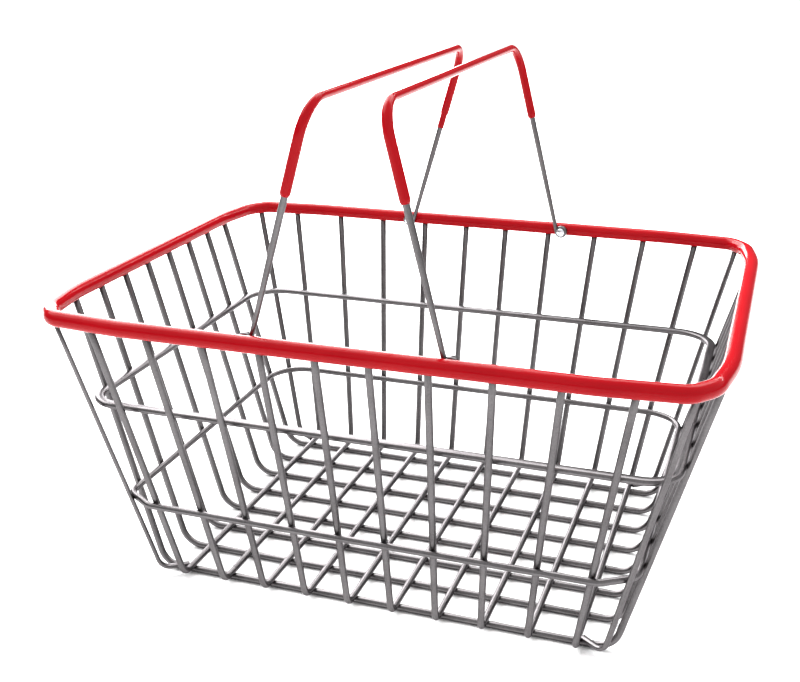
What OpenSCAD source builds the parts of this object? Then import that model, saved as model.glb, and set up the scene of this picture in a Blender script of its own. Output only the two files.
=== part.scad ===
// Wire shopping basket with two swing handles.
// Millimetres. X runs along the length, Y across the width, Z up.
// The origin is on the ground under the middle of the floor.

/* [Basket] */
// Length between the axes of the two short rim sides
rim_length = 421; // [340:1:520]
// Width between the axes of the two long rim sides
rim_width = 320; // [260:1:400]
// Height of the rim axis above the ground
rim_height = 196.5; // [150:1:260]
// How far each short wall leans out, from its foot to the rim axis
short_wall_out = 52.5; // [40:0.5:64]
// How far each long wall leans out, from its foot to the rim axis
long_wall_out = 40.5; // [32:0.5:50]

/* [Wires] */
// Diameter of the round basket wires
wire_d = 4.5; // [3.5:0.1:6]
// How deep a welded wire sinks into the wire that it crosses
weld_sink = 0.6; // [0.3:0.05:0.8]
// Bend radius of the crosswise wires, to the wire axis
crosswise_bend = 8; // [6:0.5:20]
// Bend radius of the lengthwise wires, to the wire axis
lengthwise_bend = 15; // [10:0.5:30]
// Distance from the outermost crosswise wire to the foot of the short wall
end_wire_inset = 23; // [19:0.5:28]
// Distance from the outermost lengthwise wire to the foot of the long wall
side_wire_inset = 12.75; // [11:0.25:18]
// Outward lean of the end crosswise wires, along X per unit of height
crosswise_fan = 0.164; // [0:0.002:0.2]
// How fast that lean grows from the middle wires to the end wires
fan_power = 1.4; // [1:0.1:2]

/* [Corner wires] */
// Width of the flattened corner wire, along the wall
corner_wire_w = 4.5; // [3.5:0.1:6]
// Thickness of the flattened corner wire, across the wall
corner_wire_t = 2.9; // [2.4:0.1:4]
// Length of the tail that a corner wire lays on the floor
corner_tail = 22; // [16:0.5:30]
// Bend radius of the corner wires, to the wire axis
corner_bend = 9; // [6:0.5:14]
// Depth that a corner wire's face sinks into what it is welded to
corner_sink = 0.2; // [0.1:0.05:0.3]

/* [Hoops] */
// Height of the lower hoop axis above the ground
lower_hoop_z = 64; // [50:1:85]
// Height of the upper hoop axis above the ground
upper_hoop_z = 133; // [110:1:140]
// Width of the flattened upper hoop
upper_hoop_w = 6.8; // [5:0.1:8]
// Thickness of the flattened upper hoop
upper_hoop_t = 4; // [3:0.1:5]
// How far the upper hoop's front side stands inside the line where it would touch
upper_front_gap = 6.8; // [4:0.1:12]
// How far the upper hoop's back side stands inside the line where it would touch
upper_back_gap = 15.6; // [4:0.1:20]
// How far the lower hoop's back side stands inside the line where it would touch
lower_back_gap = 2.5; // [1.2:0.1:6]
// Bend radius of the upper hoop's front corners
hoop_front_bend = 19; // [10:0.5:22]
// Bend radius of both hoops' back corners
hoop_back_bend = 28; // [15:0.5:32]
// Distance past the end wire where the lower hoop's front side turns inward
hoop_turn_past = 4.5; // [4:0.1:8]
// Bend radius of the lower hoop's four front bends
hoop_turn_bend = 12; // [6:0.5:12]

/* [Rim] */
// Diameter of the steel rod inside the rim
rim_rod_d = 7; // [5.5:0.1:8]
// How far the plastic cover stands out from the rod, all round
cover_wall = 1.75; // [1.2:0.05:2.6]
// Clearance on each side of a wire in the slot under the cover
slot_clearance = 0.55; // [0.5:0.05:0.6]
// Distance from a corner, along X, where a long side starts to ease in
ease_x = 66; // [45:1:80]
// How far a long side has eased in at its corner
ease_y = 4.6; // [2:0.1:8]
// Distance of the corner facet's first end from the short side
facet_x = 17.4; // [14:0.1:22]
// Distance of the corner facet's second end from the short side
facet_dx = 5.9; // [4:0.1:8]
// Distance of the corner facet's second end from the long side
facet_dy = 18.3; // [15:0.1:24]
// Distance from a corner, along Y, where a short side starts to ease in
side_ease_y = 52; // [48:1:60]
// Bend radius where a side starts to ease in
ease_bend = 150; // [80:5:160]
// Bend radius at the first end of the corner facet
facet_bend = 12; // [8:0.5:14]
// Bend radius at the second end of the corner facet
facet_end_bend = 25; // [12:0.5:28]

/* [Handles] */
// Distance between the pivot axes of the two handles
pivot_span = 126; // [110:1:132]
// Distance from the pivot axis to the top bar, up the handle
handle_reach = 147; // [125:1:150]
// How much closer each leg stands to the middle at the top than at its eye
handle_taper = 0.2; // [0:0.1:12]
// Bend radius of the top corners
handle_bend = 20; // [14:0.5:24]
// Lean of the left handle toward the right one, as it stands at rest
left_lean = 16; // [8:0.5:19]
// Lean of the right handle toward the left one, as it stands at rest
right_lean = 14.5; // [8:0.5:19]
// Diameter of the handle wire
handle_wire_d = 4.2; // [3.6:0.1:4.6]
// How much thinner the handle wire is where it meets the eye
neck_thin = 1; // [0.6:0.1:1.2]
// Length over which the leg tapers to the eye
neck_l = 70; // [40:1:80]

/* [Grips] */
// How far the sleeve stands out from the wire along the legs
grip_leg_wall = 1.1; // [0.8:0.05:1.5]
// How far the sleeve stands out from the wire along the top bar
grip_bar_wall = 0.5; // [0.4:0.05:0.9]
// Radial clearance between a sleeve and its wire
grip_clearance = 0.1; // [0.08:0.01:0.15]
// Distance from the pivot to the lower end of a sleeve
grip_start = 92; // [84:1:105]
// Length of the thin collar under one sleeve end
collar_l = 11; // [4:0.5:14]
// Wall of that collar
collar_wall = 0.35; // [0.2:0.05:0.5]
// Length of the sleeve's taper from leg to bar diameter
grip_taper = 12; // [6:0.5:16]
// Length of the rounded-off lower end of the sleeve
grip_tip = 2.5; // [1:0.1:4]

/* [Pivots] */
// Diameter of the rivet shoulder that the eye turns on
pivot_d = 4.6; // [4:0.1:5.2]
// Radial clearance between the eye and the rivet shoulder
pivot_clearance = 0.05; // [0.02:0.01:0.09]
// Thickness of the flattened wire that makes the eye
eye_t = 2.3; // [1.8:0.1:2.8]
// Width of that flattened wire, along the pivot
eye_w = 4.4; // [3.6:0.1:5]
// Angle that the eye wraps round the rivet
eye_wrap = 305; // [270:1:320]
// Gap between the eye and the pieces on both sides of it
eye_gap = 0.35; // [0.3:0.05:0.6]
// How far the rivet head overhangs the shoulder, all round
head_overhang = 0.8; // [0.6:0.05:1.4]
// Height of the rivet head
rivet_head_h = 1.9; // [1.4:0.1:2.4]
// How far the rivet tail steps in from the shoulder, all round
tail_step = 0.8; // [0.6:0.05:1]

/* [Hidden] */

$fn = 48;
crosswise_count = 10;
lengthwise_count = 8;
half_l = rim_length / 2;
half_w = rim_width / 2;
floor_length = rim_length - 2 * short_wall_out;
floor_width = rim_width - 2 * long_wall_out;
crosswise_pitch = (floor_length - 2 * end_wire_inset) / (crosswise_count - 1);
lengthwise_pitch = (floor_width - 2 * side_wire_inset) / (lengthwise_count - 1);
rim_cover_d = rim_rod_d + 2 * cover_wall;
cover_slot = wire_d + 2 * slot_clearance;
handle_neck_d = handle_wire_d - neck_thin;
grip_leg_d = handle_wire_d + 2 * grip_leg_wall;
grip_bar_d = handle_wire_d + 2 * grip_bar_wall;
rivet_head_d = pivot_d + 2 * head_overhang;
rivet_tail_d = pivot_d - 2 * tail_step;

// Axis heights of the two layers of floor wires, the crosswise ones on top.
cross_step = wire_d - weld_sink;
lengthwise_z = wire_d / 2;
crosswise_z = lengthwise_z + cross_step;

// One corner of the rim axis, from the long side round to the short side.
rim_corner = [
    [half_l - ease_x, half_w],
    [half_l - facet_x, half_w - ease_y],
    [half_l - facet_dx, half_w - facet_dy],
    [half_l, half_w - side_ease_y]];
corner_radii = [ease_bend, facet_bend, facet_end_bend, ease_bend];
function mirrored(list, sx, sy) = [for (p = list) [p.x * sx, p.y * sy, rim_height]];
function reversed(list) = [for (i = [len(list) - 1 : -1 : 0]) list[i]];
rim_points = concat(reversed(mirrored(rim_corner, 1, 1)), mirrored(rim_corner, -1, 1),
    reversed(mirrored(rim_corner, -1, -1)), mirrored(rim_corner, 1, -1));
rim_radii = concat(reversed(corner_radii), corner_radii,
    reversed(corner_radii), corner_radii);

// Place of the rim axis above one wire: Y at a given X, and X at a given Y.
function on_line(a, b, t) = a + (b - a) * t;
function rim_y(x) = lookup(abs(x), [for (p = rim_corner) [p.x, p.y]]);
function rim_x(y) = lookup(abs(y), [for (p = rim_corner) [p.y, p.x]]);

// Walls run straight from the foot of a wire to the rim axis.
wall_rise = rim_height - crosswise_z;
function up_wall(z) = (z - crosswise_z) / wall_rise;
function long_wall_y(z) = on_line(floor_width / 2, half_w, up_wall(z));
function short_wall_x(z) = on_line(floor_length / 2, half_l, up_wall(z));
wall_lean = (atan((half_l - floor_length / 2) / wall_rise)
    + atan((half_w - floor_width / 2) / wall_rise)) / 2;

// Vector helpers for bent wires and for turned sections.
function unit(v) = v / norm(v);
function across(u) = unit(abs(u.z) < 0.7 ? cross(u, [0, 0, 1]) : cross(u, [1, 0, 0]));
function turn_angle(u, v) = acos(max(-1, min(1, u * v)));
function tangent_length(a, b, c, r) = r * tan(turn_angle(unit(b - a), unit(c - b)) / 2);

// Stands the children at p with their Z along u and their Y against n.
module aim(p, u, n) {
    e = cross(u, n);
    multmatrix([[e.x, -n.x, u.x, p.x], [e.y, -n.y, u.y, p.y], [e.z, -n.z, u.z, p.z], [0, 0, 0, 1]])
        children();
}

// Sweeps the first 2D child along straight runs and tangent bends. A run stops
// short of its bend by joint_gap, and a short collar closes each joint: the
// second child, which is the section made larger by joint_lip all round. A
// section's Y points against the normal, and a path with a normal turns left.
joint_gap = 0.02;
joint_lip = 0.04;
joint_l = 0.6;
module bent(points, radii, closed = false, normal = undef) {
    count = len(points);
    runs = closed ? count : count - 1;
    function at(i) = points[(i + count) % count];
    function setback(i) = !closed && (i == 0 || i == count - 1) ? 0
        : tangent_length(at(i - 1), at(i), at(i + 1), radii[i % count]);
    for (i = [0 : runs - 1]) {
        a = at(i);
        b = at(i + 1);
        u = unit(b - a);
        start = setback(i);
        finish = setback(i + 1);
        side = is_undef(normal) ? across(u) : normal;
        run_l = norm(b - a) - start - finish;
        bend_before = closed || i > 0;
        bend_after = closed || i < runs - 1;
        aim(a + u * (start + (bend_before ? joint_gap : 0)), u, side)
            linear_extrude(run_l - (bend_before ? joint_gap : 0) - (bend_after ? joint_gap : 0))
                children(0);
        if (bend_before) aim(a + u * (start - joint_l / 2), u, side)
            linear_extrude(joint_l) children(1);
        if (bend_after) aim(b - u * (finish + joint_l / 2), u, side)
            linear_extrude(joint_l) children(1);
        if (bend_after) {
            v = unit(at(i + 2) - b);
            n = unit(cross(u, v));
            e = cross(u, n);
            r = radii[(i + 1) % count];
            c = b - u * finish - e * r;
            multmatrix([[e.x, u.x, n.x, c.x], [e.y, u.y, n.y, c.y],
                [e.z, u.z, n.z, c.z], [0, 0, 0, 1]])
                rotate_extrude(angle = turn_angle(u, v)) translate([r, 0])
                    mirror([0, 1, 0]) children(0);
        }
    }
}

// A round wire, bent.
module bent_wire(points, radii, d, closed = false, normal = undef) {
    bent(points, radii, closed, normal) {
        circle(d = d);
        circle(d = d + 2 * joint_lip);
    }
}

// Flat section with round edges: w along X, t along Y.
module flat_section(w, t) {
    square([w - t, t], center = true);
    for (s = [-1, 1]) translate([s * (w - t) / 2, 0]) circle(d = t);
}

// Rivet places: one on each long side at each end of the handle pivots.
rim_inner_y = half_w - rim_cover_d / 2;
eye_y = rim_inner_y - eye_gap - eye_w / 2;
head_y = eye_y - eye_w / 2 - eye_gap;
tail_y = half_w + rim_rod_d / 2 - weld_sink;
module at_rivet(sx, sy) {
    translate([sx * pivot_span / 2, 0, rim_height]) mirror([0, sy < 0 ? 1 : 0, 0])
        rotate([-90, 0, 0]) children();
}
module rivet_tails() {
    for (sx = [-1, 1], sy = [-1, 1])
        at_rivet(sx, sy) translate([0, 0, head_y]) cylinder(d = rivet_tail_d, h = tail_y - head_y);
}

module rim_rod() {
    color("silver") difference() {
        bent_wire(rim_points, rim_radii, rim_rod_d, closed = true, normal = [0, 0, 1]);
        rivet_tails();
    }
}

// Snap-on cover: a ring section that is open underneath, where the slot turns
// toward the basket to face the leaning wires.
cover_clearance = 0.12;
module cover_section(lip) {
    slot = cover_slot - 2 * lip;
    difference() {
        circle(d = rim_cover_d + 2 * lip);
        circle(d = rim_rod_d + 2 * (cover_clearance - lip));
        rotate(wall_lean) translate([-slot / 2, 0]) square([slot, rim_cover_d]);
    }
}
module rim_cover() {
    color("crimson") difference() {
        bent(rim_points, rim_radii, closed = true, normal = [0, 0, 1]) {
            cover_section(0);
            cover_section(joint_lip);
        }
        rivet_tails();
    }
}

// A corner wire lies in one upright plane, from where the outer floor wires
// cross to a point on the rim's corner facet.
corner_start = [(crosswise_count - 1) / 2 * crosswise_pitch,
    (lengthwise_count - 1) / 2 * lengthwise_pitch];
corner_top = on_line(rim_corner[1], rim_corner[2], 1 / 3);
corner_way = unit(corner_top - corner_start);
corner_floor_z = crosswise_z + wire_d / 2 - corner_wire_t / 2 - corner_sink;
function corner_plan(s) = corner_start + corner_way * s;
corner_run = norm(corner_top - corner_start);
function corner_at(z) = corner_plan(on_line(corner_tail, corner_run,
    (z - corner_floor_z) / (rim_height - corner_floor_z)));

// Wire tops stop in the underside of the rim rod.
function wire_top(foot, end, sink) = end - unit(end - foot) * (rim_rod_d / 2 - sink);

// The upper hoop touches the short walls' wires from inside and stands off the
// wires of both long walls.
module upper_hoop() {
    z = upper_hoop_z;
    touch = (wire_d + upper_hoop_w) / 2 - weld_sink;
    x = short_wall_x(z) - touch;
    front = long_wall_y(z) - touch - upper_front_gap;
    back = long_wall_y(z) - touch - upper_back_gap;
    color("silver") bent([[x, back, z], [-x, back, z], [-x, -front, z], [x, -front, z]],
        [hoop_back_bend, hoop_back_bend, hoop_front_bend, hoop_front_bend],
        closed = true, normal = [0, 0, 1]) {
            flat_section(upper_hoop_w, upper_hoop_t);
            flat_section(upper_hoop_w + 2 * joint_lip, upper_hoop_t + 2 * joint_lip);
        }
}

// The lower hoop lies inside the short walls and outside the front wall. Past the
// end wire its front side turns in and runs on at a tangent inside the corner wire.
function end_wire_x(z) = (crosswise_count - 1) / 2 * crosswise_pitch
    + crosswise_fan * (z - crosswise_z);
module lower_hoop() {
    z = lower_hoop_z;
    touch = wire_d - weld_sink;
    x = short_wall_x(z) - touch;
    back = long_wall_y(z) - touch - lower_back_gap;
    turn = [end_wire_x(z) + hoop_turn_past, long_wall_y(z) + touch];
    way = corner_at(z) - turn;
    slope = tan(atan2(way.y, way.x)
        - asin(((wire_d + corner_wire_t) / 2 - corner_sink) / norm(way)));
    side_y = turn.y + slope * (x - turn.x);
    color("silver") bent_wire([[x, back, z], [-x, back, z], [-x, -side_y, z],
        [-turn.x, -turn.y, z], [turn.x, -turn.y, z], [x, -side_y, z]],
        [hoop_back_bend, hoop_back_bend, hoop_turn_bend, hoop_turn_bend,
        hoop_turn_bend, hoop_turn_bend], wire_d, closed = true, normal = [0, 0, 1]);
}

// One lengthwise floor wire, up both short walls. Where the rim has eased in, it
// bends at the upper hoop to reach the rod.
module lengthwise_wire(i) {
    y = (i - (lengthwise_count + 1) / 2) * lengthwise_pitch;
    foot = [short_wall_x(lengthwise_z), y, lengthwise_z];
    eased = rim_x(y) < half_l;
    knee = [[short_wall_x(upper_hoop_z), y, upper_hoop_z]];
    top = wire_top(eased ? knee[0] : foot, [rim_x(y), y, rim_height], weld_sink / 2);
    half = concat([foot], eased ? knee : [], [top]);
    radii = concat([lengthwise_bend], eased ? [ease_bend] : [], [0]);
    color("silver") bent_wire(concat([for (p = reversed(half)) [-p.x, p.y, p.z]], half),
        concat(reversed(radii), radii), wire_d);
}

// One crosswise floor wire, up both long walls and fanned out along them. Its
// foot stands where it keeps the wire on the wall's line at the lower hoop.
module crosswise_wire(i) {
    k = i - (crosswise_count + 1) / 2;
    fan = crosswise_fan * sign(k) * pow(abs(k) * 2 / (crosswise_count - 1), fan_power);
    x = k * crosswise_pitch;
    high = x + fan * wall_rise;
    t = up_wall(lower_hoop_z);
    foot = [x, (long_wall_y(lower_hoop_z) - rim_y(high) * t) / (1 - t), crosswise_z];
    top = wire_top(foot, [high, rim_y(high), rim_height], weld_sink / 2);
    color("silver") bent_wire([[top.x, -top.y, top.z], [x, -foot.y, foot.z], foot, top],
        [0, crosswise_bend, crosswise_bend, 0], wire_d);
}

module corner_wire(sx, sy) {
    start = corner_plan((wire_d / 2 + corner_sink) / corner_way.x);
    foot = corner_plan(corner_tail);
    top = wire_top([foot.x, foot.y, corner_floor_z], [corner_top.x, corner_top.y, rim_height],
        corner_sink);
    color("silver") mirror([sx < 0 ? 1 : 0, 0, 0]) mirror([0, sy < 0 ? 1 : 0, 0])
        bent([[start.x, start.y, corner_floor_z], [foot.x, foot.y, corner_floor_z], top],
            [0, corner_bend, 0], normal = [corner_way.y, -corner_way.x, 0]) {
            rotate([0, 0, 90]) flat_section(corner_wire_w, corner_wire_t);
            rotate([0, 0, 90])
                flat_section(corner_wire_w + 2 * joint_lip, corner_wire_t + 2 * joint_lip);
        }
}

// Rivet: a tail in the rim, the shoulder that the eye turns on, a domed head.
module rivet(sx, sy) {
    color("lightsteelblue") at_rivet(sx, sy) rotate_extrude()
        polygon(concat([[0, tail_y], [rivet_tail_d / 2, tail_y], [rivet_tail_d / 2, rim_inner_y],
            [pivot_d / 2, rim_inner_y], [pivot_d / 2, head_y], [rivet_head_d / 2, head_y]],
            [for (a = [0 : 15 : 90]) [rivet_head_d / 2 * cos(a),
                head_y - rivet_head_h / 3 - rivet_head_h * 2 / 3 * sin(a)]]));
}

// Handle in its own plane: Z up the handle from the pivot axis, Y along the bar.
eye_inner = pivot_d / 2 + pivot_clearance;
leg_x = eye_inner + eye_t / 2;
bar_z = sqrt(handle_reach * handle_reach - leg_x * leg_x);
foot_point = [leg_x, eye_y, 0];
corner_point = [leg_x, eye_y - handle_taper, bar_z];
leg_way = unit(corner_point - foot_point);
leg_length = norm(corner_point - foot_point);
function on_leg(s) = foot_point + leg_way * s;
function far(p) = [p.x, -p.y, p.z];
bend_setback = tangent_length(foot_point, corner_point, far(corner_point), handle_bend);

// Sets a handle in place: the left one leans to the right, the other mirrors it.
module place_handle(side) {
    mirror([side > 0 ? 1 : 0, 0, 0]) translate([-pivot_span / 2, 0, rim_height])
        rotate([0, side < 0 ? left_lean : right_lean, 0]) children();
}
module both_legs() {
    children();
    mirror([0, 1, 0]) children();
}
module up_leg(s) {
    aim(on_leg(s), leg_way, [-1, 0, 0]) children();
}

// Bent wire of the handle above a point on the leg.
module bail(start, d) {
    bent_wire([on_leg(start), corner_point, far(corner_point), far(on_leg(start))],
        [0, handle_bend, handle_bend, 0], d);
}

// Neck of the leg, tapering down to the eye.
module neck() {
    r = handle_wire_d / 2 + joint_lip;
    up_leg(0) rotate_extrude() polygon([[0, eye_t], [handle_neck_d / 2, eye_t],
        [r, neck_l], [r, neck_l + joint_l], [0, neck_l + joint_l]]);
}

// Open eye of flattened wire, with the short straight stub above it.
stub_lap = 0.1;
module eye() {
    translate([0, eye_y, 0]) rotate([90, 0, 0]) rotate([0, 0, -eye_wrap])
        rotate_extrude(angle = eye_wrap) translate([leg_x, 0])
            square([eye_t, eye_w], center = true);
    translate([eye_inner + stub_lap, eye_y - eye_w / 2 + stub_lap, -stub_lap * 4])
        cube([eye_t, eye_w - 2 * stub_lap, eye_w + stub_lap * 4]);
}

module handle_wire(side) {
    color("silver") place_handle(side) {
        bail(neck_l, handle_wire_d);
        both_legs() {
            neck();
            eye();
        }
    }
}

// Sleeve on one leg, with its rounded-off lower end and a collar if it has one.
grip_bore_r = handle_wire_d / 2 + grip_clearance;
module sleeve_leg(collar) {
    top = leg_length - bend_setback - joint_l;
    bore_r = grip_bore_r - joint_lip / 2;
    tip_r = (handle_wire_d * 0.4 + grip_leg_d * 0.6) / 2;
    collar_r = grip_bore_r + collar_wall;
    up_leg(0) rotate_extrude() polygon(concat(
        collar > 0 ? [[bore_r, grip_start - collar], [collar_r, grip_start - collar],
            [collar_r, grip_start]] : [[bore_r, grip_start]],
        [[tip_r, grip_start], [grip_leg_d / 2, grip_start + grip_tip],
            [grip_leg_d / 2, top - grip_taper], [grip_bar_d / 2 + 2 * joint_lip, top],
            [bore_r, top]]));
}
module tube_section(lip) {
    difference() {
        circle(d = grip_bar_d + 2 * lip);
        circle(r = grip_bore_r - lip);
    }
}
module handle_grip(side) {
    start = leg_length - bend_setback - grip_taper / 2;
    color("crimson") place_handle(side) {
        bent([on_leg(start), corner_point, far(corner_point), far(on_leg(start))],
            [0, handle_bend, handle_bend, 0]) {
            tube_section(0);
            tube_section(joint_lip);
        }
        // the left handle has a thin collar under the sleeve of its back leg
        sleeve_leg(side < 0 ? collar_l : 0);
        mirror([0, 1, 0]) sleeve_leg(0);
    }
}

rim_rod();
rim_cover();
upper_hoop();
lower_hoop();
lengthwise_wire(1);  // lengthwise_wire_1
lengthwise_wire(2);  // lengthwise_wire_2
lengthwise_wire(3);  // lengthwise_wire_3
lengthwise_wire(4);  // lengthwise_wire_4
lengthwise_wire(5);  // lengthwise_wire_5
lengthwise_wire(6);  // lengthwise_wire_6
lengthwise_wire(7);  // lengthwise_wire_7
lengthwise_wire(8);  // lengthwise_wire_8
crosswise_wire(1);  // crosswise_wire_1
crosswise_wire(2);  // crosswise_wire_2
crosswise_wire(3);  // crosswise_wire_3
crosswise_wire(4);  // crosswise_wire_4
crosswise_wire(5);  // crosswise_wire_5
crosswise_wire(6);  // crosswise_wire_6
crosswise_wire(7);  // crosswise_wire_7
crosswise_wire(8);  // crosswise_wire_8
crosswise_wire(9);  // crosswise_wire_9
crosswise_wire(10);  // crosswise_wire_10
corner_wire(-1, -1);  // corner_wire_front_left
corner_wire(1, -1);  // corner_wire_front_right
corner_wire(-1, 1);  // corner_wire_back_left
corner_wire(1, 1);  // corner_wire_back_right
rivet(-1, -1);  // rivet_left_front
rivet(-1, 1);  // rivet_left_back
rivet(1, -1);  // rivet_right_front
rivet(1, 1);  // rivet_right_back
handle_wire(-1);  // left_handle_wire
handle_grip(-1);  // left_handle_grip
handle_wire(1);  // right_handle_wire
handle_grip(1);  // right_handle_grip
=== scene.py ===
import math
import bpy
import numpy as np
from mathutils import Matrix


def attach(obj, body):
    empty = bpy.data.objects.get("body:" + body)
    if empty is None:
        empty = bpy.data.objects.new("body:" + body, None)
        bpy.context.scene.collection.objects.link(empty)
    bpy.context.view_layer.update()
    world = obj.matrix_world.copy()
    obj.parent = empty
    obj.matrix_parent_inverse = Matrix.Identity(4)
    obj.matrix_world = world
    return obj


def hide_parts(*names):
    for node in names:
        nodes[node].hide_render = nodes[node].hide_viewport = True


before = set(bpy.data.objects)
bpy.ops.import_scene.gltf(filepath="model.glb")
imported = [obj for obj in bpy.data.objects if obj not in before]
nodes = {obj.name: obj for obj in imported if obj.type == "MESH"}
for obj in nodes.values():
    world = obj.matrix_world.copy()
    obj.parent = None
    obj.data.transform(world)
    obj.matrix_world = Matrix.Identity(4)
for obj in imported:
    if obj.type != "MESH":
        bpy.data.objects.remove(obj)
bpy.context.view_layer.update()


# ---- Camera, floor and studio light -------------------------------------------------
# A hand-height view from the front right onto the near long side, looking down into
# the basket. The floor is plain and pale. A soft key comes from the upper left and a wide
# fill from the right. Two large panels, behind on the left and overhead, are what the
# round wires reflect, and a narrow strip draws the thin line along the rim.

scene = bpy.context.scene
scene.view_settings.view_transform = "Standard"

eye_place = np.array([0.2285, -0.7208, 0.4254])
turn, dip = math.radians(18.86), math.radians(20.01)
lens_data = bpy.data.cameras.new("viewpoint")
lens_data.lens = 51.6
lens_data.sensor_width = 36.0
lens_data.shift_x = -0.0015
lens_data.clip_start = 0.01
viewpoint = bpy.data.objects.new("viewpoint", lens_data)
viewpoint.location = eye_place
viewpoint.rotation_euler = (math.pi / 2 - dip, math.radians(0.13), turn)
scene.collection.objects.link(viewpoint)
scene.camera = viewpoint


def face(lamp, place, aim):
    """Stands a lamp at place and points it at aim."""
    x, y, z = np.array(place, float) - np.array(aim, float)
    lamp.location = place
    lamp.rotation_euler = (math.atan2(math.hypot(x, y), z), 0, math.atan2(x, -y))
    scene.collection.objects.link(lamp)


for name, place, strength, spread in (("key", (-1.6, 0.5, 2.2), 2.2, 50),
                                      ("fill", (0.8, -0.6, 2.6), 2.6, 140)):
    sun = bpy.data.lights.new(name, "SUN")
    sun.energy, sun.angle = strength, math.radians(spread)
    face(bpy.data.objects.new(name, sun), place, (0, 0, 0))

for name, place, size, watts in (("back_panel", (-1.55, 2.0, 1.1), (2.2, 2.0), 165),
                                 ("rim_strip", (0.8, 1.7, 1.25), (1.4, 0.08), 5),
                                 ("top_panel", (-0.3, 1.1, 2.0), (3.0, 1.2), 60)):
    panel = bpy.data.lights.new(name, "AREA")
    panel.shape, panel.size, panel.size_y, panel.energy = "RECTANGLE", *size, watts
    panel.diffuse_factor = 0.25
    face(bpy.data.objects.new(name, panel), place, (0, 0, 0.1))

world = bpy.data.worlds.new("studio")
world.use_nodes = True
scene.world = world
air = world.node_tree
air.nodes.clear()
seen = air.nodes.new("ShaderNodeBackground")
seen.inputs["Color"].default_value = (1, 1, 1, 1)
seen.inputs["Strength"].default_value = 1.0
around = air.nodes.new("ShaderNodeBackground")
around.inputs["Color"].default_value = (0.62, 0.62, 0.63, 1)
around.inputs["Strength"].default_value = 0.25
which = air.nodes.new("ShaderNodeLightPath")
choose = air.nodes.new("ShaderNodeMixShader")
out = air.nodes.new("ShaderNodeOutputWorld")
air.links.new(which.outputs["Is Camera Ray"], choose.inputs["Fac"])
air.links.new(around.outputs[0], choose.inputs[1])
air.links.new(seen.outputs[0], choose.inputs[2])
air.links.new(choose.outputs[0], out.inputs["Surface"])


def new_mesh(name, points, faces, smooth=True):
    """A mesh object from an array of points and an array of quads, placed at the origin."""
    mesh = bpy.data.meshes.new(name)
    mesh.vertices.add(len(points))
    mesh.vertices.foreach_set("co", np.ascontiguousarray(points, np.float32).ravel())
    faces = np.asarray(faces, np.int32)
    mesh.loops.add(faces.size)
    mesh.loops.foreach_set("vertex_index", faces.ravel())
    mesh.polygons.add(len(faces))
    mesh.polygons.foreach_set("loop_start", np.arange(len(faces), dtype=np.int32) * faces.shape[1])
    mesh.polygons.foreach_set("use_smooth", np.full(len(faces), smooth))
    mesh.update()
    mesh.validate()
    thing = bpy.data.objects.new(name, mesh)
    scene.collection.objects.link(thing)
    return thing


floor = new_mesh("studio_floor", np.array([[-30, -30, 0], [30, -30, 0], [30, 30, 0], [-30, 30, 0.0]]),
                 [[0, 1, 2, 3]], smooth=False)


# ---- Crosswise wires -------------------------------------------------------------------
# Ten zinc-plated wires, each one length of drawn steel wire bent twice: they lie across
# the floor on top of the lengthwise wires and run up both long walls to the rim, the
# outer ones fanned outward. They are cut, bent in a press and resistance welded.

class Field:
    """A shader socket that can be used in expressions, each of which adds a Math node."""

    def __init__(self, tree, socket):
        self.tree, self.socket = tree, socket

    def node(self, kind, settings=None, **values):
        """Adds a node, sets its settings and then its sockets, and returns it."""
        made = self.tree.nodes.new(kind)
        for key, value in (settings or {}).items():
            setattr(made, key, value)
        for key, value in values.items():
            slot = made.inputs[int(key[1:])] if key[0] == "i" and key[1:].isdigit() \
                else made.inputs[key.replace("_", " ")]
            if isinstance(value, Field):
                self.tree.links.new(value.socket, slot)
            else:
                slot.default_value = value
        return made

    def out(self, made, name=0):
        return Field(self.tree, made.outputs[name])

    def maths(self, operation, a, b):
        return self.out(self.node("ShaderNodeMath", {"operation": operation}, i0=a, i1=b))

    def __add__(self, other): return self.maths("ADD", self, other)
    def __radd__(self, other): return self.maths("ADD", other, self)
    def __mul__(self, other): return self.maths("MULTIPLY", self, other)
    def __rmul__(self, other): return self.maths("MULTIPLY", other, self)

    def ramp(self, low, high):
        """0 below low, 1 above high, straight between them."""
        made = self.node("ShaderNodeMapRange", {"clamp": True},
                         i0=self, i1=low, i2=high, i3=0.0, i4=1.0)
        return self.out(made)

    def noise(self, scale, detail=3.0, rough=0.5):
        """Fractal noise of this vector field, about 0 to 1."""
        made = self.node("ShaderNodeTexNoise", Vector=self, Scale=scale, Detail=detail,
                         Roughness=rough)
        return self.out(made, "Fac")

    def stretched(self, x, y, z):
        """This vector field with its three parts scaled."""
        made = self.node("ShaderNodeVectorMath", {"operation": "MULTIPLY"}, i0=self, i1=(x, y, z))
        return self.out(made)

    def blend(self, one, two):
        """A colour that goes from one to two as this field goes from 0 to 1."""
        made = self.node("ShaderNodeMix", {"data_type": "RGBA"}, i0=self, i6=(*one, 1), i7=(*two, 1))
        return self.out(made, 2)


def start_material(name, **constants):
    """A new material: its shader, its object coordinates and its UV, as fields."""
    material = bpy.data.materials.new(name)
    material.use_nodes = True
    tree = material.node_tree
    shader = tree.nodes["Principled BSDF"]
    for key, value in constants.items():
        shader.inputs[key.replace("_", " ")].default_value = value
    coords = tree.nodes.new("ShaderNodeTexCoord")
    return material, shader, Field(tree, coords.outputs["Object"]), Field(tree, coords.outputs["UV"])


def feed(shader, name, field):
    field.tree.links.new(field.socket, shader.inputs[name])


def bump(shader, height, strength, distance):
    """Feeds the shader's normal from a height field, in metres of relief."""
    made = height.node("ShaderNodeBump", Height=height, Strength=strength, Distance=distance)
    feed(shader, "Normal", height.out(made))


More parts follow.
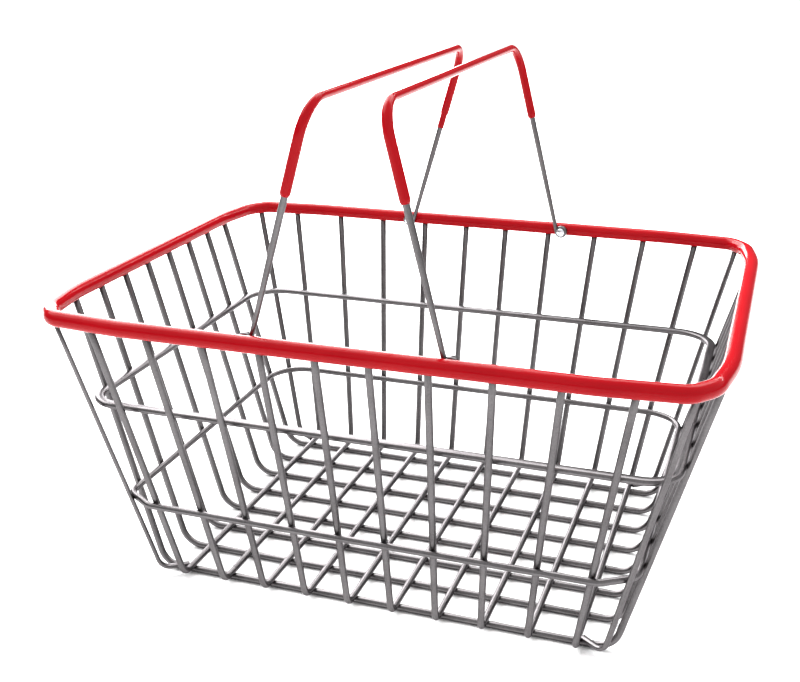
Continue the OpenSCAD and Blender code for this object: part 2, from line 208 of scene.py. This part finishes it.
zinc, zinc_shader, place, uv = start_material("zinc_plated_wire", Metallic=1.0,
                                              Specular_Tint=(0.55, 0.54, 0.55, 1))
clouds = place.noise(35.0, 3.0)
grain = uv.stretched(900.0, 60.0, 1.0).noise(1.0, 2.0)
fine = place.noise(900.0, 2.0)
patches = (clouds * 0.6 + fine * 0.4).ramp(0.3, 0.7)
feed(zinc_shader, "Base Color", patches.blend((0.09, 0.084, 0.086), (0.165, 0.157, 0.160)))
feed(zinc_shader, "Roughness", 0.2 + 0.14 * clouds + 0.06 * grain)
bump(zinc_shader, grain, 0.25, 0.00006)


def bent_path(corners, radii, closed=False, step=math.radians(7.5), run_step=0.02):
    """Points along straight runs joined by tangent arcs. At a corner where the way turns
    by phi with radius r, the arc starts r*tan(phi/2) before the corner and its points are
    centre + r*(e*cos(a) + u*sin(a)), with u the way in and e from the centre to its start."""
    corners = [np.asarray(c, float) for c in corners]
    count = len(corners)
    pieces = []
    for i in range(count):
        here = corners[i]
        if not closed and i in (0, count - 1):
            pieces.append(here[None])
            continue
        u = here - corners[i - 1]
        v = corners[(i + 1) % count] - here
        u, v = u / np.linalg.norm(u), v / np.linalg.norm(v)
        phi = math.acos(np.clip(u @ v, -1, 1))
        n = np.cross(u, v)
        n /= np.linalg.norm(n)
        e = np.cross(u, n)
        r = radii[i]
        begin = here - u * r * math.tan(phi / 2)
        a = np.linspace(0, phi, max(3, int(math.ceil(phi / step)) + 1))[:, None]
        pieces.append(begin - e * r + r * (e * np.cos(a) + u * np.sin(a)))
    ends = pieces if not closed else pieces + [pieces[0][:1]]
    filled = []
    for one, two in zip(ends[:-1], ends[1:]):
        gap = np.linalg.norm(two[0] - one[-1])
        parts = max(1, int(gap / run_step))
        t = np.linspace(0, 1, parts + 1)[1:-1, None]
        filled += [one, one[-1] * (1 - t) + two[0] * t]
    if not closed:
        filled.append(ends[-1])
    return np.concatenate(filled)


def frames_along(path, reference, closed=False):
    """Unit tangent, side and lift at each path point. The side is the reference direction
    with its part along the tangent taken out; the lift is tangent x side."""
    ahead = np.roll(path, -1, 0) - path
    behind = path - np.roll(path, 1, 0)
    if not closed:
        ahead[-1], behind[0] = behind[-1], ahead[0]
    ahead /= np.linalg.norm(ahead, axis=1, keepdims=True)
    behind /= np.linalg.norm(behind, axis=1, keepdims=True)
    tangent = ahead + behind
    tangent /= np.linalg.norm(tangent, axis=1, keepdims=True)
    reference = np.broadcast_to(np.asarray(reference, float), path.shape)
    side = reference - tangent * np.sum(reference * tangent, 1, keepdims=True)
    side /= np.linalg.norm(side, axis=1, keepdims=True)
    return tangent, side, np.cross(tangent, side)


def sweep(name, path, side, lift, outline, closed=False):
    """Surface P(s, a) = path(s) + side(s)*outline_x(s, a) + lift(s)*outline_y(s, a).
    The outline runs once round; an open sweep is closed by a fan at each end. The UV map
    holds the distance round and the distance along, both in metres."""
    outline = np.broadcast_to(outline, (len(path), *outline.shape[-2:]))
    rings, m = outline.shape[:2]
    grid = path[:, None] + side[:, None] * outline[..., :1] + lift[:, None] * outline[..., 1:]
    points = grid.reshape(-1, 3)
    i = np.arange(rings if closed else rings - 1)[:, None]
    j = np.arange(m)[None]
    k, nj = (i + 1) % rings, (j + 1) % m
    quads = np.broadcast_arrays(i * m + j, i * m + nj, k * m + nj, k * m + j)
    quads = np.stack(quads, -1).reshape(-1, 4)
    along = np.concatenate([[0], np.cumsum(np.linalg.norm(np.diff(path, axis=0), axis=1))])
    loop = np.linalg.norm(path[0] - path[-1])
    round_steps = np.diff(outline[0], axis=0, append=outline[0][:1])
    around = np.concatenate([[0], np.cumsum(np.linalg.norm(round_steps, axis=1))])
    u = np.stack(np.broadcast_arrays(around[j], around[j + 1], around[j + 1], around[j]), -1)
    up = along[i + 1] if not closed else np.append(along[1:], along[-1] + loop)[i]
    v = np.stack(np.broadcast_arrays(along[i], along[i], up, up), -1)
    u = np.broadcast_to(u, (len(i), m, 4))
    v = np.broadcast_to(v, (len(i), m, 4))
    uvs = np.stack([u, v], -1).reshape(-1, 2)
    if not closed:
        points = np.concatenate([points, grid[:1].mean(1), grid[-1:].mean(1)])
        near = np.stack([(j[0] + 1) % m, j[0], np.full(m, rings * m)], -1)
        base = (rings - 1) * m
        far = np.stack([base + j[0], base + (j[0] + 1) % m, np.full(m, rings * m + 1)], -1)
        thing = mixed_mesh(name, points, quads, np.concatenate([near, far]))
        uvs = np.concatenate([uvs, np.zeros((6 * m, 2))])
    else:
        thing = new_mesh(name, points, quads)
    layer = thing.data.uv_layers.new(name="along_wire")
    layer.data.foreach_set("uv", uvs.astype(np.float32).ravel())
    return thing


def mixed_mesh(name, points, quads, triangles):
    """A mesh object from quads and then triangles; the triangles are end caps, flat shaded."""
    mesh = bpy.data.meshes.new(name)
    mesh.vertices.add(len(points))
    mesh.vertices.foreach_set("co", np.ascontiguousarray(points, np.float32).ravel())
    mesh.loops.add(quads.size + triangles.size)
    corners = np.concatenate([quads.ravel(), triangles.ravel()]).astype(np.int32)
    mesh.loops.foreach_set("vertex_index", corners)
    mesh.polygons.add(len(quads) + len(triangles))
    starts = np.concatenate([np.arange(len(quads)) * 4, quads.size + np.arange(len(triangles)) * 3])
    mesh.polygons.foreach_set("loop_start", starts.astype(np.int32))
    mesh.polygons.foreach_set("use_smooth", np.arange(len(starts)) < len(quads))
    mesh.update()
    thing = bpy.data.objects.new(name, mesh)
    scene.collection.objects.link(thing)
    return thing


def oval(w, t, m=20):
    """An outline w wide and t thick with round edges, going round once."""
    a = np.arange(m) / m * 2 * math.pi
    x, y = np.cos(a), np.sin(a)
    r = np.minimum(w, t) / 2
    shift_x = np.sign(np.round(x, 6)) * (w / 2 - r)
    shift_y = np.sign(np.round(y, 6)) * (t / 2 - r)
    return np.stack([x * r + shift_x, y * r + shift_y], -1)


def chamfered(path, side, lift, outline, cut=0.0004):
    """Gives an open sweep slightly broken ends: an extra smaller ring at each end."""
    outline = np.broadcast_to(outline, (len(path), *outline.shape[-2:])).copy()
    u = path[1] - path[0]
    v = path[-1] - path[-2]
    u, v = u / np.linalg.norm(u), v / np.linalg.norm(v)
    path = np.concatenate([path[:1], path[:1] + u * cut, path[1:-1], path[-1:] - v * cut, path[-1:]])
    side = np.concatenate([side[:1], side, side[-1:]])
    lift = np.concatenate([lift[:1], lift, lift[-1:]])
    less = 1 - cut / (wire_d / 2)
    outline = np.concatenate([outline[:1] * less, outline, outline[-1:] * less])
    return path, side, lift, outline


wire_d = 0.0045
weld_sink = 0.0006
lengthwise_z = wire_d / 2
crosswise_z = lengthwise_z + wire_d - weld_sink
rim_z = 0.1965
half_l, half_w = 0.2105, 0.160
floor_half_l, floor_half_w = 0.158, 0.1195
rod_r = 0.0035
corner_of_rim = np.array([[half_l - 0.066, half_w], [half_l - 0.0174, half_w - 0.0046],
                          [half_l - 0.0059, half_w - 0.0183], [half_l, half_w - 0.052]])
lower_z = 0.064
crosswise_pitch, crosswise_bend = 0.030, 0.008
fan_slope, fan_power = 0.164, 1.4


def wire_top(foot, end, sink=weld_sink / 2):
    """The place on the way from foot to end where the wire stops in the rim rod."""
    foot, end = np.asarray(foot, float), np.asarray(end, float)
    u = (end - foot) / np.linalg.norm(end - foot)
    return end - u * (rod_r - sink)


def rim_y(x):
    return np.interp(abs(x), corner_of_rim[:, 0], corner_of_rim[:, 1])


def up_wall(z):
    return (z - crosswise_z) / (rim_z - crosswise_z)


def short_wall_x(z):
    return floor_half_l + (half_l - floor_half_l) * up_wall(z)


def long_wall_y(z):
    return floor_half_w + (half_w - floor_half_w) * up_wall(z)


def finish_wire(name, path, reference, outline, node):
    tangent, side, lift = frames_along(path, reference)
    thing = sweep(name, *chamfered(path, side, lift, outline))
    thing.data.materials.append(zinc)
    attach(thing, "basket")
    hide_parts(node)
    return thing


for i in range(10):
    k = i - 4.5
    x = k * crosswise_pitch
    lean = fan_slope * math.copysign(abs(k / 4.5) ** fan_power, k)
    high = x + lean * (rim_z - crosswise_z)
    t = up_wall(lower_z)
    foot_y = (long_wall_y(lower_z) - rim_y(high) * t) / (1 - t)
    top = wire_top((x, foot_y, crosswise_z), (high, rim_y(high), rim_z))
    corners = [(top[0], -top[1], top[2]), (x, -foot_y, crosswise_z), (x, foot_y, crosswise_z),
               tuple(top)]
    path = bent_path(corners, [0, crosswise_bend, crosswise_bend, 0])
    finish_wire(f"crosswise_wire_{i + 1:02d}_drawn", path, (1, 0, 0),
                oval(wire_d, wire_d), f"crosswise_wire_{i + 1}")


# ---- Lengthwise wires ------------------------------------------------------------------
# Eight wires of the same stock that the basket stands on. They are bent to a wider
# radius than the crosswise ones and run up the short walls, outside both hoops.

lengthwise_pitch, lengthwise_bend = 0.0305, 0.015

for i in range(8):
    y = (i - 3.5) * lengthwise_pitch
    foot = np.array([short_wall_x(lengthwise_z), y, lengthwise_z])
    top = wire_top(foot, (half_l, y, rim_z))
    corners = [(-top[0], y, top[2]), (-foot[0], y, foot[2]), tuple(foot), tuple(top)]
    path = bent_path(corners, [0, lengthwise_bend, lengthwise_bend, 0])
    finish_wire(f"lengthwise_wire_{i + 1}_drawn", path, (0, 1, 0), oval(wire_d, wire_d),
                f"lengthwise_wire_{i + 1}")


# ---- Corner wires ----------------------------------------------------------------------
# Four short flattened wires, one up each corner. Each one's tail lies on the floor and
# butts against the outer crosswise wire; its top is welded to the rim's corner.

corner_start = np.array([0.135, 0.10675])
corner_top = corner_of_rim[1] + (corner_of_rim[2] - corner_of_rim[1]) / 3
corner_run = np.linalg.norm(corner_top - corner_start)
corner_way = (corner_top - corner_start) / corner_run
corner_w, corner_t, corner_sink = 0.0045, 0.0029, 0.0002
corner_tail, corner_bend = 0.022, 0.009
corner_z = crosswise_z + wire_d / 2 - corner_t / 2 - corner_sink


def corner_plan(s, z):
    return np.array([*(corner_start + corner_way * s), z])


for sx, sy, label in ((-1, -1, "front_left"), (1, -1, "front_right"),
                      (-1, 1, "back_left"), (1, 1, "back_right")):
    flip = np.array([sx, sy, 1.0])
    tail = corner_plan((wire_d / 2 + corner_sink) / corner_way[0], corner_z)
    foot = corner_plan(corner_tail, corner_z)
    top = wire_top(foot, (*corner_top, rim_z), corner_sink)
    path = bent_path([tail * flip, foot * flip, top * flip], [0, corner_bend, 0])
    across = np.array([corner_way[1] * sx, -corner_way[0] * sy, 0])
    finish_wire(f"corner_wire_{label}_drawn", path, across, oval(corner_w, corner_t),
                f"corner_wire_{label}")


# ---- Hoops -----------------------------------------------------------------------------
# Two closed hoops, bent to an oblong and butt welded. The flattened upper one is welded
# inside the short walls and stands off the long ones. The round lower one lies inside
# the short walls and outside the front wires, and turns in past them at both ends.

upper_z, upper_w, upper_t = 0.133, 0.0068, 0.004
upper_front_gap, upper_back_gap, lower_back_gap = 0.0068, 0.0156, 0.0025
hoop_back_bend, hoop_front_bend, hoop_turn_bend, turn_past = 0.028, 0.019, 0.012, 0.0045


def upper_corners(z=upper_z):
    touch = (wire_d + upper_w) / 2 - weld_sink
    x, y = short_wall_x(z) - touch, long_wall_y(z) - touch
    front, back = y - upper_front_gap, y - upper_back_gap
    return ([(x, back, z), (-x, back, z), (-x, -front, z), (x, -front, z)],
            [hoop_back_bend] * 2 + [hoop_front_bend] * 2)


def lower_corners(z=lower_z):
    """The front side ends in a straight piece from the turn, at a tangent to a circle
    about the corner wire: its slope is the way to the wire less asin(reach / distance)."""
    touch = wire_d - weld_sink
    x, back = short_wall_x(z) - touch, long_wall_y(z) - touch - lower_back_gap
    outer_wire_x = corner_start[0] + fan_slope * (z - crosswise_z)
    turn_in = np.array([outer_wire_x + turn_past, long_wall_y(z) + touch])
    s = corner_tail + (corner_run - corner_tail) * (z - corner_z) / (rim_z - corner_z)
    way = corner_plan(s, z)[:2] - turn_in
    reach_in = (wire_d + corner_t) / 2 - corner_sink
    toward = math.atan2(way[1], way[0])
    slope = math.tan(toward - math.asin(reach_in / np.linalg.norm(way)))
    side_y = turn_in[1] + slope * (x - turn_in[0])
    return [(x, back, z), (-x, back, z), (-x, -side_y, z), (-turn_in[0], -turn_in[1], z),
            (turn_in[0], -turn_in[1], z), (x, -side_y, z)], \
        [hoop_back_bend] * 2 + [hoop_turn_bend] * 4


for label, plan, outline in (("upper_hoop", upper_corners(), oval(upper_t, upper_w, 24)),
                             ("lower_hoop", lower_corners(), oval(wire_d, wire_d, 24))):
    path = bent_path(*plan, closed=True)
    tangent, side, lift = frames_along(path, (0, 0, 1), closed=True)
    hoop = sweep(label + "_drawn", path, side, lift, outline, closed=True)
    hoop.data.materials.append(zinc)
    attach(hoop, "basket")
    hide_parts(label)


# ---- Rim -------------------------------------------------------------------------------
# A steel rod bent to the basket's outline, with a glossy red plastic cover snapped over
# it. The cover is open underneath, where the wall wires come up to the rod.

red, red_shader, place, uv = start_material("red_gloss_cover", Metallic=0.0, Specular_IOR_Level=0.10)
swirl = place.noise(18.0, 3.0)
ripple = place.noise(140.0, 2.0)
speck = place.noise(1500.0, 1.0)
feed(red_shader, "Base Color",
     swirl.ramp(0.3, 0.7).blend((0.32, 0.002, 0.006), (0.37, 0.004, 0.008)))
feed(red_shader, "Roughness", 0.06 + 0.06 * swirl + 0.04 * speck)
bump(red_shader, ripple + 0.15 * speck, 0.2, 0.00012)

cover_r = 0.00525
rim_bends = (0.150, 0.012, 0.025, 0.150)
rim_corners, rim_radii = [], []
for sx, sy, order in ((1, 1, -1), (-1, 1, 1), (-1, -1, -1), (1, -1, 1)):
    for (px, py), r in list(zip(corner_of_rim, rim_bends))[::order]:
        rim_corners.append((px * sx, py * sy, rim_z))
        rim_radii.append(r)
rim_path = bent_path(rim_corners, rim_radii, closed=True, step=math.radians(4))


def cover_outline(outer=cover_r, inner=0.00362, slot=0.0056, lip=0.0004, m=36):
    """C-shaped section, open downward and a little inward, toward the leaning wires: an
    outer arc, two lips and an inner arc. x is up and y is sideways."""
    rise = rim_z - crosswise_z
    short_lean = math.atan2(half_l - floor_half_l, rise)
    long_lean = math.atan2(half_w - floor_half_w, rise)
    lean = (short_lean + long_lean) / 2
    a0 = math.asin(slot / 2 / outer) + lip / outer
    b0 = math.asin(slot / 2 / inner) + lip / inner * 0.5
    a = np.linspace(math.pi - a0, -math.pi + a0, m)
    b = np.linspace(-math.pi + b0, math.pi - b0, m)
    outer_arc = np.stack([np.cos(a + lean), np.sin(a + lean)], -1) * outer
    inner_arc = np.stack([np.cos(b + lean), np.sin(b + lean)], -1) * inner
    return np.concatenate([outer_arc, inner_arc])[::-1]


tangent, side, lift = frames_along(rim_path, (0, 0, 1), closed=True)
cover = sweep("rim_cover_moulded", rim_path, side, lift, cover_outline(), closed=True)
cover.data.materials.append(red)
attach(cover, "basket")
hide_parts("rim_cover")

nodes["rim_rod"].data.materials.clear()
nodes["rim_rod"].data.materials.append(zinc)


# ---- Rivets ----------------------------------------------------------------------------
# Four shouldered steel rivets, pressed through the cover into the rod. The eye of a
# handle leg turns on the shoulder, under a low domed head.

plated, plated_shader, place, uv = start_material("bright_rivet", Metallic=1.0)
haze = place.noise(400.0, 3.0)
feed(plated_shader, "Base Color", haze.ramp(0.3, 0.7).blend((0.62, 0.65, 0.70), (0.78, 0.80, 0.84)))
feed(plated_shader, "Roughness", 0.2 + 0.15 * haze)
bump(plated_shader, haze, 0.2, 0.00004)

pivot_x, pivot_d, clearance = 0.063, 0.0046, 0.00005
eye_t, eye_w, eye_gap = 0.0023, 0.0044, 0.00035
rim_inner_y = half_w - cover_r
eye_y = rim_inner_y - eye_gap - eye_w / 2
head_y = eye_y - eye_w / 2 - eye_gap
shank_r, shank_end_y = 0.0015, half_w + 0.0028
head_r, head_edge, head_rise, head_break = 0.0031, 0.0006, 0.0013, 0.0002


def lathe(name, profile, centre, axis_sign, m=32):
    """Surface of revolution about an axis along Y: at angle a a profile point (r, d) goes to
    centre + r*(cos a, 0, sin a) with Y = d times the sign."""
    a = np.arange(m) / m * 2 * math.pi
    r, d = np.array(profile, float).T
    x = centre[0] + r[:, None] * np.cos(a)
    z = centre[2] + r[:, None] * np.sin(a)
    y = np.broadcast_to((d * axis_sign)[:, None], x.shape)
    points = np.stack([x, y, z], -1)
    i = np.arange(len(profile) - 1)[:, None]
    j = np.arange(m)[None]
    nj = (j + 1) % m
    quads = np.broadcast_arrays(i * m + j, (i + 1) * m + j, (i + 1) * m + nj, i * m + nj)
    quads = np.stack(quads, -1).reshape(-1, 4)
    ends = np.array([0, len(profile) - 1]) * m
    points = np.concatenate([points.reshape(-1, 3), points[[0, -1]].mean(1)])
    j = j[0]
    one = np.stack([ends[0] + j, ends[0] + (j + 1) % m, np.full(m, len(points) - 2)], -1)
    two = np.stack([ends[1] + (j + 1) % m, ends[1] + j, np.full(m, len(points) - 1)], -1)
    triangles = np.concatenate([one, two])
    if axis_sign < 0:
        quads, triangles = quads[:, ::-1], triangles[:, ::-1]
    thing = mixed_mesh(name, points, quads, triangles)
    thing.data.polygons.foreach_set("use_smooth", np.full(len(quads) + len(triangles), True))
    return thing


arc = np.radians(np.linspace(0, 84, 9))
rivet_profile = [(shank_r, shank_end_y), (shank_r, rim_inner_y), (pivot_d / 2, rim_inner_y),
                 (pivot_d / 2, head_y), (head_r - 0.00025, head_y),
                 (head_r, head_y - head_break), (head_r, head_y - head_edge)]
rivet_profile += [(head_r * math.cos(a), head_y - head_edge - head_rise * math.sin(a)) for a in arc]
for sx, sy, label in ((-1, -1, "left_front"), (-1, 1, "left_back"),
                      (1, -1, "right_front"), (1, 1, "right_back")):
    rivet = lathe(f"rivet_{label}_domed", rivet_profile, (sx * pivot_x, 0, rim_z), sy)
    rivet.data.materials.append(plated)
    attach(rivet, "basket")
    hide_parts(f"rivet_{label}")


# ---- Handles ---------------------------------------------------------------------------
# Each handle is one wire: a flattened end curled round the rivet into an open eye, a leg,
# the top bar, the other leg and its eye. They lean toward each other as they stand.

leg_x = pivot_d / 2 + clearance + eye_t / 2
reach, handle_bend, wrap = 0.147, 0.020, math.radians(305)
handle_d, neck_d, neck_l = 0.0042, 0.0032, 0.070
bar_z = math.sqrt(reach * reach - leg_x * leg_x)
corner_y = eye_y - 0.0002
left_lean, right_lean = math.radians(16), math.radians(14.5)


def smooth(t):
    t = np.clip(t, 0, 1)
    return t * t * (3 - 2 * t)


def handle_place(points, side_sign, lean, turn_only=False):
    """Turns points of the handle's own plane by its lean about the pivot axis and sets
    them at the pivot; the right handle is the mirror image of the left one."""
    c, s = math.cos(lean), math.sin(lean)
    x, y, z = points.T
    turned = np.stack([x * c + z * s, y, z * c - x * s], -1)
    if not turn_only:
        turned = turned + np.array([-pivot_x, 0, rim_z])
    if side_sign > 0:
        turned[:, 0] *= -1
    return turned


def handle_line():
    """Path and section frames of a handle in its own plane, from one eye's free end to the
    other. Along an eye the wide way of the strip is Y; over the top it turns with the wire."""
    a = np.linspace(-wrap, 0, 50)[:, None]
    ring = np.concatenate([np.cos(a) * leg_x, np.full_like(a, -eye_y), np.sin(a) * leg_x], 1)
    ring_t = np.concatenate([-np.sin(a), np.zeros_like(a), np.cos(a)], 1)
    ring_w = np.broadcast_to([0, 1.0, 0], ring.shape)
    corners = [(leg_x, -eye_y, 0.0001), (leg_x, -corner_y, bar_z),
               (leg_x, corner_y, bar_z), (leg_x, eye_y, 0.0001)]
    over = bent_path(corners, [0, handle_bend, handle_bend, 0], step=math.radians(4),
                     run_step=0.003)
    over_t = frames_along(over, (1, 0, 0))[0]
    flat = np.broadcast_to([-1.0, 0, 0], over.shape)
    over_w = np.cross(flat, over_t)
    path = np.concatenate([ring, over, ring[::-1] * [1, -1, 1]])
    tangent = np.concatenate([ring_t, over_t, -(ring_t[::-1] * [1, -1, 1])])
    wide = np.concatenate([ring_w, over_w, -ring_w])
    return path, tangent, wide, len(ring)


def handle_sections(path, count, m=20):
    """Outline at each point: (sign(c)*|c|**p*wide, sign(s)*|s|**p*thick) with c and s the
    cosine and sine of the angle round. It is a flat strip round the eye, a slim neck above
    it and a full round wire from there up."""
    height = path[:, 2].copy()
    height[:count] = height[-count:] = 0
    up = smooth(height / 0.016)
    r = (neck_d + (handle_d - neck_d) * smooth(height / neck_l)) / 2
    wide = eye_w / 2 * (1 - up) + r * up
    thick = eye_t / 2 * (1 - up) + r * up
    power = (2 / (2 + 2.5 * (1 - up)))[:, None]
    a = np.arange(m) / m * 2 * math.pi
    c, s = np.cos(a)[None], np.sin(a)[None]
    return np.stack([np.sign(c) * np.abs(c) ** power * wide[:, None],
                     np.sign(s) * np.abs(s) ** power * thick[:, None]], -1)


line, line_t, line_w, eye_count = handle_line()
sections = handle_sections(line, eye_count)

for sign, lean, label in ((-1, left_lean, "left"), (1, right_lean, "right")):
    path = handle_place(line, sign, lean)
    tangent = handle_place(line_t, sign, lean, turn_only=True)
    wide = handle_place(line_w, sign, lean, turn_only=True)
    thin = np.cross(tangent, wide)
    wire = sweep(f"{label}_handle_wire_drawn", path, wide, thin, sections)
    wire.data.materials.append(zinc)
    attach(wire, f"{label}_handle")
    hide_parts(f"{label}_handle_wire")


# ---- Grips -----------------------------------------------------------------------------
# A red plastic sleeve on each handle, thick on the legs and drawn thin over the top bar,
# with rounded lower ends. The left one has a thin collar under its back end.

def grip(label, sign, lean, collar):
    """The radius r(s) along the handle's line is leg_r on the legs and goes smoothly to
    bar_r over the bar; at each lower end it falls to the bore along a quarter ellipse. The
    wall then folds in and runs back inside along the wire."""
    start, leg_r, bar_r, bore_r = 0.092, 0.0032, 0.0026, 0.0022
    corners = [(leg_x, -eye_y, start), (leg_x, -corner_y, bar_z),
               (leg_x, corner_y, bar_z), (leg_x, eye_y, start - collar)]
    over = bent_path(corners, [0, handle_bend, handle_bend, 0], step=math.radians(3),
                     run_step=0.0015)
    tangent = frames_along(over, (1, 0, 0))[0]
    toward = np.abs(over[:, 1]) / eye_y
    over_bar = smooth((1 - toward) / 0.16)
    r = leg_r + (bar_r - leg_r) * over_bar
    tip = np.sqrt(np.clip(1 - (1 - np.clip((over[:, 2] - start) / 0.0026, 0, 1)) ** 2, 0, 1))
    r = (bore_r + 0.0004) + (r - bore_r - 0.0004) * tip
    r = np.where(over[:, 2] < start, bore_r + 0.00035, r)
    flat = np.broadcast_to([-1.0, 0, 0], over.shape)
    wide = np.cross(flat, tangent)
    first, last, deep, lip = over[:1], over[-1:], 0.003, 0.0003
    path = np.concatenate([first + tangent[:1] * deep, first + tangent[:1] * lip, over,
                           last - tangent[-1:] * lip, last - tangent[-1:] * deep])
    inside = np.array([bore_r - 0.0002, bore_r - 0.0001])
    radius = np.concatenate([inside, r, inside[::-1]])
    tangent = np.concatenate([tangent[:1], tangent[:1], tangent, tangent[-1:], tangent[-1:]])
    wide = np.concatenate([wide[:1], wide[:1], wide, wide[-1:], wide[-1:]])
    a = np.arange(28) / 28 * 2 * math.pi
    outline = np.stack([np.cos(a), np.sin(a)], -1)[None] * radius[:, None, None]
    path = handle_place(path, sign, lean)
    tangent = handle_place(tangent, sign, lean, turn_only=True)
    wide = handle_place(wide, sign, lean, turn_only=True)
    sleeve = sweep(f"{label}_grip_sleeve", path, wide, np.cross(tangent, wide), outline)
    sleeve.data.materials.append(red)
    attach(sleeve, f"{label}_handle")
    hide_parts(f"{label}_handle_grip")


grip("left", -1, left_lean, 0.011)
grip("right", 1, right_lean, 0.0)


# ---- Floor finish ----------------------------------------------------------------------
# A plain pale sheet, slightly uneven in tone. It isn't part of the basket.

pale, pale_shader, place, uv = start_material("pale_floor", Metallic=0.0)
wash = place.noise(3.0, 2.0)
feed(pale_shader, "Base Color", wash.blend((0.91, 0.91, 0.91), (0.93, 0.93, 0.93)))
feed(pale_shader, "Roughness", 0.7 + 0.1 * wash)
floor.data.materials.append(pale)
